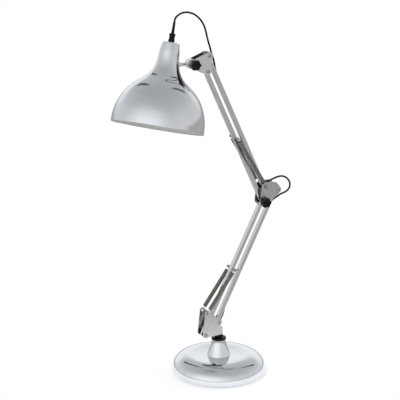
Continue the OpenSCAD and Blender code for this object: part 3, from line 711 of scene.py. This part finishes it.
# %% Lampholder
holder_outline = eased([
    [3.0, -9.0, 0.1], [3.0, -29.0, 0.1], [8.1, -29.0, 0.2], [8.1, -53.0, 0.2], [11.2, -53.0, 0.4],
    [11.2, -58.0, 0.4], [13.0, -58.0, 0.7], [13.0, -46.0, 0.2], [12.4, -45.4, 0.2], [12.4, -44.2, 0.2],
    [13.0, -43.6, 0.2], [13.0, -10.0, 1.5], [9.0, -6.2, 0.6], [3.0, -6.2, 0.1]])
lathe("lampholder", "shade", moulded, SHADE_TOP, SHADE_UP, holder_outline, "holder_body", columns=72)
THREAD_R = 7.35
THREAD_DEPTH = 0.32
THREAD_PITCH = 2.8
SLEEVE_R = 7.95
down = np.linspace(-52.6, -31.4, 140)[:, None]
around = np.linspace(0, 2 * np.pi, 72, endpoint=False)[None]
screw_line = THREAD_R + THREAD_DEPTH * np.cos(2 * np.pi * down / THREAD_PITCH - around)
sleeve_in = np.stack([screw_line * np.cos(around), screw_line * np.sin(around), down + 0 * around], -1)
sleeve_out = np.stack([
    SLEEVE_R * np.cos(around) + 0 * down, SLEEVE_R * np.sin(around) + 0 * down, down + 0 * around], -1)
sleeve = np.concatenate([sleeve_in, sleeve_out[::-1]]) * MM
thread = made("thread_sleeve", [closed_shell(placed(sleeve, SHADE_TOP, SHADE_UP), ring=True)], 60)
belongs(thread, "shade", brass, "holder_thread")

# %% [markdown]
# ## Rod and knuckle
# A short rod holds the shade to a round knuckle. The knuckle is clamped between the far head plate and
# the black liner behind the near one, and turned across the arm, so it shows beside the knob.

# %% Rod and knuckle
NECK_X = KNUCKLE[0] / MM - 50
WALL_X = NECK_X + 22.9
ROD_FOOT_X = WALL_X - 6.8
rod_length = (KNUCKLE[0] / MM - 5) - ROD_FOOT_X
rod_outline = eased([
    [0, 0, 0], [3.1, 0, 0.4], [3.5, 0.6, 0.3], [3.5, rod_length - 8.4, 0.2], [3.2, rod_length - 8.1, 0.2],
    [3.2, rod_length - 7.4, 0.2], [3.5, rod_length - 7.1, 0.2], [3.5, rod_length, 0.2], [0, rod_length, 0]])
rod_start = np.array([ROD_FOOT_X * MM, 0, KNUCKLE[2]])
lathe("shade_arm_rod", "head_rod", chrome_rod, rod_start, X_AXIS, rod_outline, "shade_rod", columns=64)
knuckle_outline = eased([
    [3.05, -6.4, 0.2], [9.0, -6.4, 0.9], [9.5, -5.5, 0.5], [9.5, 10.2, 0.5], [9.0, 11.1, 0.9],
    [3.05, 11.1, 0.2]])
lathe("turned_knuckle", "head_rod", chrome_rod, KNUCKLE, Y_AXIS, knuckle_outline, "head_knuckle", columns=96)

# %% [markdown]
# ## Star knobs
# Two moulded knobs clamp the elbow and the head. Their outline is a circle with six shallow waists:
# the radius at the angle t is the crest less a share of |sin 3t|, raised to a power that keeps the
# crests broad. The waists fade towards the middle of both faces, and every edge is rolled over.

# %% Knobs
KNOB_R = 10.5
PLATE_OUT = 12.9
KNOB_BACK = PLATE_OUT + 1.8
WAIST_START = 5.2 * MM
WAIST_FADE = 4.5 * MM


def star(outline, waist, columns=144):
    """A turned outline with six waists: r (1 - w |sin 3t|^1.7), where w grows with the radius."""
    t = np.linspace(0, 2 * np.pi, columns, endpoint=False)[None]
    r, h = outline[:, :1], outline[:, 1:]
    share = waist * np.clip((r - WAIST_START) / WAIST_FADE, 0, 1) ** 1.5
    cut = r * (1 - share * np.abs(np.sin(3 * t)) ** 1.7)
    return np.stack([cut * np.cos(t), cut * np.sin(t), h + 0 * t], -1)


knob_side = np.radians(np.linspace(0, 90, 9))[:, None]
front_edge = np.hstack([KNOB_R - 2.2 * (1 - np.cos(knob_side)), 7.8 + 2.2 * np.sin(knob_side)])
back_edge = np.hstack([KNOB_R - 1.2 * (1 - np.cos(knob_side)), 1.2 - 1.2 * np.sin(knob_side)])[::-1]
crown = np.array([[7.2, 9.9], [6.0, 9.75], [5.0, 9.5], [4.4, 9.0], [3.9, 8.8], [0.0, 8.8]])
knob_outline = np.vstack([[[3.05, -1.4], [5.9, -1.4], [6.0, -1.2], [6.0, 0.0], [8.6, 0.0]],
                          back_edge, front_edge, crown, [[0.0, 7.2], [3.05, 7.2]]]) * MM
for name, body, centre, node in [("elbow_star_knob", "elbow_clamp", ELBOW_BOLT, "elbow_knob"),
                                 ("head_star_knob", "head_clamp", KNUCKLE, "head_knob")]:
    grid = placed(star(knob_outline, 0.20), centre - KNOB_BACK * MM * Y_AXIS, -Y_AXIS)
    knob = made(name, [closed_shell(grid, ring=True)], 50)
    belongs(knob, body, moulded, node)

# %% [markdown]
# ## Screws, nuts and pins
# Each pivot screw has a low domed head with a hexagon recess. The recess is the same hexagon radius
# as before, on the rows of the outline that go down into the head. The nuts are hexagons with their
# corners trimmed by a circle, as a lathe leaves them.

# %% Screws and nuts
NUT_END = PLATE_OUT + 4.2


def domed_head(radius, height, recess, columns=72):
    """A domed head standing on z = 0: its recess, rim, dome and flat underside as one closed surface."""
    t = np.linspace(0, 2 * np.pi, columns, endpoint=False)[None]
    a = np.radians(np.linspace(12, 90, 9))[:, None]
    dome = np.hstack([radius * np.sin(a), 0.45 + (height - 0.45) * np.cos(a)])
    floor = height - 0.55 * height
    hollow = [[0.0, floor], [recess, floor], [recess, height - 0.35], [recess + 0.28, height - 0.06]]
    rows = np.vstack([hollow, dome[2:], [[radius, 0.25], [radius - 0.2, 0.0], [0.0, 0.0]]]) * MM
    r, h = rows[:, :1] + 0 * t, rows[:, 1:] + 0 * t
    r[1:3] = hexagon(t, 2 * recess * MM)
    return np.stack([r * np.cos(t), r * np.sin(t), h], -1)


def shank(radius, start, end):
    """A plain shank with chamfered ends, from start to end up its axis, as an outline in metres."""
    return eased([[0, start, 0], [radius - 0.3, start, 0.1], [radius, start + 0.4, 0.1],
                  [radius, end - 0.5, 0.1], [radius - 0.5, end, 0.1], [0, end, 0]])


def screw_shells(centre, head_radius, shank_radius, end):
    """A screw across the arm: its head in front of the near plate, and its shank to the height end."""
    head = placed(domed_head(head_radius, 2.6, 1.25), centre - PLATE_OUT * MM * Y_AXIS, -Y_AXIS)
    body = placed(turned(shank(shank_radius, -PLATE_OUT, end), 40), centre, Y_AXIS)
    return [closed_shell(head, ring=True), closed_shell(body, ring=True)]


def nut_shells(centre, across, bore, start, end):
    """A hexagon nut between two heights across the arm."""
    trim = across / 2 * 1.07
    outline = eased([[bore, start, 0.1], [trim, start, 0.05], [across, start + 0.5, 0.05],
                     [across, end - 0.5, 0.05], [trim, end, 0.05], [bore, end, 0.1]])
    t = np.linspace(0, 2 * np.pi, 72, endpoint=False)[None]
    edge = np.minimum((end - outline[:, 1:] / MM) / 0.5, (outline[:, 1:] / MM - start) / 0.5)
    limit = np.minimum(hexagon(t, across * MM), (trim + np.clip(edge, 0, 1) * 0.09 * across) * MM)
    r = np.where(outline[:, :1] < trim * MM * 0.98, outline[:, :1], limit)
    h = outline[:, 1:] + 0 * t
    grid = np.stack([r * np.cos(t), r * np.sin(t), h], -1)
    return [closed_shell(placed(grid, centre, Y_AXIS), ring=True)]


for name, body, centres, node in [
    ("lower_socket_screws", "lower_bracket", [LOWER_FRONT, LOWER_REAR], "lower_pivot_screws"),
    ("head_socket_screws", "head_bracket", [HEAD_FRONT, HEAD_REAR], "head_screws"),
]:
    shells = [shell for c in centres for shell in screw_shells(c, 4.0, 2.5, NUT_END)]
    belongs(made(name, shells), body, screw_plate, node)
for name, body, small, large, node in [
    ("lower_hex_nuts", "lower_bracket", [LOWER_FRONT, LOWER_REAR], [], "lower_pivot_nuts"),
    ("elbow_hex_nuts", "elbow", [ELBOW_REAR], [ELBOW_BOLT], "elbow_nuts"),
    ("head_hex_nuts", "head_bracket", [HEAD_FRONT, HEAD_REAR], [KNUCKLE], "head_nuts"),
]:
    shells = [s for c in small for s in nut_shells(c, 8.0, 2.5, PLATE_OUT, NUT_END - 0.6)]
    shells += [s for c in large for s in nut_shells(c, 10.0, 3.05, PLATE_OUT, PLATE_OUT + 5)]
    belongs(made(name, shells), body, screw_plate, node)

# %% Elbow screw, its long pin and the clamp bolts
UPPER_SPRING_Y = PLATE_OUT + 1.9
pin_end = UPPER_SPRING_Y + 3.1
long_pin = eased([
    [0, -pin_end, 0], [2.3, -pin_end, 0.3], [2.6, -pin_end + 0.5, 0.2], [2.6, -pin_end + 1.2, 0.1],
    [2.0, -pin_end + 1.2, 0.1], [2.0, -13.5, 0.1], [2.5, -13.5, 0.2], [2.5, 13.5, 0.2], [2.0, 13.5, 0.1],
    [2.0, pin_end - 1.2, 0.1], [2.6, pin_end - 1.2, 0.1], [2.6, pin_end - 0.5, 0.2], [2.3, pin_end, 0.3],
    [0, pin_end, 0]])
shells = screw_shells(ELBOW_REAR, 4.0, 2.5, NUT_END)
shells.append(closed_shell(placed(turned(long_pin, 48), ELBOW_TOP, Y_AXIS), ring=True))
belongs(made("elbow_screw_and_pin", shells), "elbow", screw_plate, "elbow_screws")
for name, body, centre, node in [("elbow_clamp_bolt", "elbow_clamp", ELBOW_BOLT, "elbow_bolt"),
                                 ("head_clamp_bolt", "head_clamp", KNUCKLE, "head_bolt")]:
    bolt = shank(3.0, -KNOB_BACK - 7, PLATE_OUT + 6.5)
    lathe(name, body, screw_plate, centre, Y_AXIS, bolt, node, columns=48)

# %% Spring pins through the front tubes
LOWER_PIN = LOWER_FRONT + leaning(LOWER_LEAN, 143 * MM)
UPPER_PIN = ELBOW_BOLT + leaning(UPPER_LEAN, 148 * MM)
END = 17.9
RIM = 17.5
GROOVE = 16.7
side_pin = eased([
    [0, -END, 0], [2.3, -END, 0.3], [2.6, -RIM, 0.2], [2.6, -GROOVE, 0.1], [2.0, -GROOVE, 0.1],
    [2.0, GROOVE, 0.1], [2.6, GROOVE, 0.1], [2.6, RIM, 0.2], [2.3, END, 0.3], [0, END, 0]])
for arm, centre in [("lower", LOWER_PIN), ("upper", UPPER_PIN)]:
    lathe(arm + "_cross_pin", arm + "_arm_front", screw_plate, centre, Y_AXIS, side_pin,
          arm + "_spring_pin", columns=48)

# %% [markdown]
# ## Coil springs
# Two springs balance each arm. A spring is wound close, so its wire is a helix whose pitch is one wire
# diameter: (r cos t, r sin t, t pitch / 2 pi). At each end the wire leaves the coil and bends into a
# hook. The lower springs hook through holes in the bracket's plates, and the upper ones on a long pin.
# The wire is so thin that a few sides are enough to make it look round.

# %% Wire paths along a spring
COIL_R = 3.52
WIRE_R = 0.65
HOOK_R = 2.7
COIL_STOP = 6.5


def bezier(a, b, c, d, samples=14):
    """The cubic curve from a to d that starts towards b and arrives from c."""
    s = np.linspace(0, 1, samples)[:, None]
    a, b, c, d = (np.array(p, float) for p in (a, b, c, d))
    return (1 - s) ** 3 * a + 3 * s * (1 - s) ** 2 * b + 3 * s**2 * (1 - s) * c + s**3 * d


def turns_between(start, end):
    """How many close turns of wire lie between two heights."""
    return round((end - start) / (2 * WIRE_R + 0.02))


def coil(start, end, per_turn=20):
    """A close-wound helix from height start to end, which begins and ends on the side of +X."""
    turns = turns_between(start, end)
    t = np.linspace(0, 2 * np.pi * turns, turns * per_turn + 1)[:, None]
    return np.hstack([COIL_R * np.cos(t), COIL_R * np.sin(t), start + (end - start) * t / t[-1]])


def pin_hook(height, coil_height, side):
    """The wire from the coil's end to a ring about a pin: side is 1 for a pin above it, -1 for below."""
    near = height - side * 2.2
    link = bezier([COIL_R, 0, coil_height], [COIL_R, 2.4 * side, coil_height + side * 0.6],
                  [HOOK_R, 0, near - side * 2.6], [HOOK_R, 0, near])
    t = np.radians(np.linspace(0, 300, 34))[:, None]
    ring = np.hstack([HOOK_R * np.cos(t), 0 * t, height + side * HOOK_R * np.sin(t)])
    stem = np.array([[HOOK_R, 0, near], [HOOK_R, 0, height - side * 1.0], [HOOK_R, 0, height]])
    return [(link, X_AXIS), (stem, X_AXIS), (ring, Y_AXIS)]


def plate_hook(coil_height):
    """The wire from the coil's end to a ring that passes through a hole in a plate, across the arm."""
    t = np.radians(np.linspace(0, 180, 14))[:, None]
    half = COIL_R / 2
    drop = coil_height - 7.5
    link = np.hstack([half + half * np.cos(t), -half * np.sin(t), coil_height - drop * t / np.pi])
    t = np.radians(np.linspace(0, 305, 34))[:, None]
    ring = np.hstack([0 * t, 3.75 * np.sin(t), 3.75 + 3.75 * np.cos(t)])
    return [(link, Z_AXIS), (ring, X_AXIS)]


def wires(paths, foot, head, y, columns):
    """Closed tubes along (path, guide) pairs in millimetres, set up from foot to head at that y."""
    up = (head - foot) / np.linalg.norm(head - foot)
    frame_rows = np.stack([np.cross(Y_AXIS, up), Y_AXIS, up])
    shells = []
    for path, guide in paths:
        grid = carried(path * MM, WIRE_R * MM, guide, columns) @ frame_rows + foot + y * MM * Y_AXIS
        shells.append(closed_shell(grid))
    return shells


# %% Wind the four springs
PLATE_HOOK_AT = LOWER_FRONT + np.array([4, 0, 45]) * MM
for name, foot, head, side_y, coil_start, base_body, arm_body, node in [
    ("lower", PLATE_HOOK_AT, LOWER_PIN, 12.15, 9.0, "lower_bracket", "lower_arm_front", "lower_springs"),
    ("upper", ELBOW_TOP, UPPER_PIN, UPPER_SPRING_Y, 14.5, "elbow", "upper_arm_front", "upper_springs"),
]:
    reach = np.linalg.norm(head - foot) / MM
    low_hook = plate_hook(coil_start) if name == "lower" else pin_hook(0.0, coil_start, -1)
    coil_end = reach - COIL_STOP
    top_hook = pin_hook(reach, coil_end, 1)
    coils, hooks = [], []
    for y in (-side_y, side_y):
        coils += wires([(coil(coil_start, coil_end), Z_AXIS)], foot, head, y, 8)
        hooks += wires(low_hook + top_hook, foot, head, y, 10)
    bend_end = foot + 0.5 * (head - foot)
    # The coils wear the darker copy of the wire, which is painted shade; the hooks wear the bright one.
    for piece, material in [(made(name + "_spring_coils", coils, 80), coil_wire_painted_shade),
                            (made(name + "_spring_hooks", hooks, 80), hook_wire)]:
        wear(piece, material)
        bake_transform(piece)
        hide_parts(node)
    turns = turns_between(coil_start, coil_end)
    print(name, "springs reach", round(reach, 1), "mm with", turns, "turns")

# %% [markdown]
# ## Plates, tubes and small blocks
# Stamped and drawn parts already have their true shape in the frame: their holes, slots and round
# ends. What they lack is the small roll on every edge that catches the light. A copy of the node is
# merged into one surface, and a Bevel rounds its sharp edges. The node itself is left as it is.

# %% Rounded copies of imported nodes


def rolled(node, body, material, width, crease=30.0):
    """A copy of a node with its sharp edges bevelled by that width in millimetres."""
    mesh = frame["nodes"][node].data.copy()
    mesh.name = node + "_rolled"
    work = bmesh.new()
    work.from_mesh(mesh)
    bmesh.ops.remove_doubles(work, verts=work.verts, dist=1e-6)
    bmesh.ops.dissolve_limit(work, angle_limit=math.radians(0.5), verts=work.verts, edges=work.edges)
    work.to_mesh(mesh)
    work.free()
    mesh.shade_smooth()
    mesh.set_sharp_from_angle(angle=math.radians(crease))
    piece = bpy.data.objects.new(node + "_rolled", mesh)
    bpy.context.scene.collection.objects.link(piece)
    bevel = piece.modifiers.new("rolled edge", "BEVEL")
    bevel.width = width * MM
    bevel.segments = 2
    bevel.limit_method = "ANGLE"
    bevel.angle_limit = math.radians(crease)
    bevel.use_clamp_overlap = True
    normals = piece.modifiers.new("flat faces stay flat", "WEIGHTED_NORMAL")
    normals.keep_sharp = True
    return belongs(piece, body, material, node)


for node, body, material, width in [
    ("lower_plate_near", "lower_bracket", plate_grey, 0.3),
    ("lower_plate_far", "lower_bracket", plate_grey, 0.3),
    ("elbow_plate_near", "elbow", plate_grey, 0.3), ("elbow_plate_far", "elbow", plate_grey, 0.3),
    # The head plates wear the paler copy of the plate: a painted highlight.
    ("head_plate_near", "head_bracket", plate_painted_highlight, 0.3),
    ("head_plate_far", "head_bracket", plate_painted_highlight, 0.3),
    ("lower_front_tube", "lower_arm_front", chrome_lower_tube, 0.12),
    ("lower_rear_tube", "lower_arm_rear", chrome_lower_tube, 0.12),
    ("upper_front_tube", "upper_arm_front", chrome_upper_tube, 0.12),
    ("upper_rear_tube", "upper_arm_rear", chrome_upper_tube, 0.12),
    ("bracket_block", "lower_bracket", moulded, 0.5), ("lower_spacers", "lower_bracket", nylon, 0.3),
    ("elbow_spacers", "elbow", nylon, 0.3), ("head_spacers", "head_bracket", nylon, 0.3),
    ("rod_saddle", "shade", chrome_rod, 0.2),
]:
    rolled(node, body, material, width)

# %% [markdown]
# ## Light and stage
# Chrome shows only what is round it, so the studio matters more than the lamps in it. The world is a
# pale room: bright round the horizon, greyer overhead and grey below. One broad white panel with soft
# edges stands to the left of the camera, and a lower one behind the lamp, for the top of the base.
# Two narrow dark flags draw the edges of the dome. The lamps only light the matt parts and the floor,
# so mirrors don't show them. The floor is a plain pale sheet.

# %% The room
world = bpy.data.worlds.new("studio_room")
bpy.context.scene.world = world
world.use_nodes = True
tree = world.node_tree
look = Socket(tree, tree.nodes.new("ShaderNodeTexCoord").outputs["Generated"])
split = look.add("ShaderNodeSeparateXYZ", None, {0: look})
east, north, up = (Socket(tree, split.socket.node.outputs[i]) for i in range(3))
room = up.add("ShaderNodeValToRGB", {"stops": [
    (0.00, (0.44, 0.44, 0.44)), (0.47, (0.44, 0.44, 0.44)), (0.52, (0.70, 0.70, 0.71)),
    (0.66, (0.66, 0.67, 0.68)), (0.84, (0.52, 0.53, 0.54)), (1.00, (0.44, 0.45, 0.46))]}, {0: up * 0.5 + 0.5})
bearing = look.math("ARCTAN2", east, north)


def upright(middle, half, low, high, soft=5, fade=0.12):
    """1 inside a window of the room and 0 outside it: bearings in degrees from +Y towards +X, and
    heights as the sine of the elevation."""
    turn = look.add("ShaderNodeMath", {"operation": "WRAP"},
                    {0: bearing - math.radians(middle), 1: math.pi, 2: -math.pi})
    away = look.math("ABSOLUTE", turn)
    level = up.above(low, 0.08) * (1 - up.above(high, fade))
    return (1 - away.above(math.radians(half), math.radians(soft))) * level


panels = upright(-128, 38, 0.0, 0.62, 70, 0.7) + 0.8 * upright(25, 40, 0.1, 0.42, 40, 0.2)
flags = upright(72, 4, 0.56, 0.85) + upright(-4, 4, 0.56, 0.85)
lit = panels.math("MINIMUM", panels, 1.0).mix(room, (1.02, 1.04, 1.07))
dark = flags.math("MINIMUM", flags, 1.0).mix(lit, (0.05, 0.05, 0.055))
seen = look.add("ShaderNodeLightPath")
shown = seen.mix(dark, (1.0, 1.0, 1.0))
tree.links.new(shown.socket, tree.nodes["Background"].inputs["Color"])
tree.nodes["Background"].inputs["Strength"].default_value = 1.0

# %% Soft lamps


def soft_lamp(name, place, target, size, power):
    """A square area lamp that faces its target."""
    data = bpy.data.lights.new(name, "AREA")
    data.shape = "SQUARE"
    data.size = size
    data.energy = power
    lamp = bpy.data.objects.new(name, data)
    lamp.visible_glossy = False
    bpy.context.scene.collection.objects.link(lamp)
    lamp.location = Vector(place)
    lamp.rotation_euler = (Vector(target) - lamp.location).to_track_quat("-Z", "Y").to_euler()
    print(name, "gives", power, "W from", place)


soft_lamp("key", (-1.6, -1.6, 2.2), (0, 0, 0.3), 1.2, 16)
soft_lamp("fill", (1.9, -0.8, 1.4), (0, 0, 0.3), 1.0, 6)
soft_lamp("overhead", (0.1, 0.5, 2.6), (0, 0, 0.0), 1.6, 10)

# %% Floor
FLOOR_SIDES = 96
around = np.linspace(0, 2 * np.pi, FLOOR_SIDES, endpoint=False)[:, None]
FLOOR_R = 0.3
FLOOR_Z = -0.0003
sheet = np.hstack([FLOOR_R * np.cos(around), FLOOR_R * np.sin(around), FLOOR_Z + 0 * around])
floor_mesh = bpy.data.meshes.new("studio_floor")
floor_mesh.from_pydata(sheet.tolist(), [], [tuple(range(FLOOR_SIDES))])
floor = bpy.data.objects.new("studio_floor", floor_mesh)
bpy.context.scene.collection.objects.link(floor)
floor_mesh.materials.append(finish(
    "pale_floor",
    lambda here: here.noise(0.4, 2.0).above(0.5, 0.6).mix((0.90, 0.90, 0.90), (0.92, 0.92, 0.92)),
    0.0, 0.7, Emission_Color=(1.0, 1.0, 1.0, 1.0), Emission_Strength=0.28))
bpy.context.scene.view_settings.view_transform = "Standard"
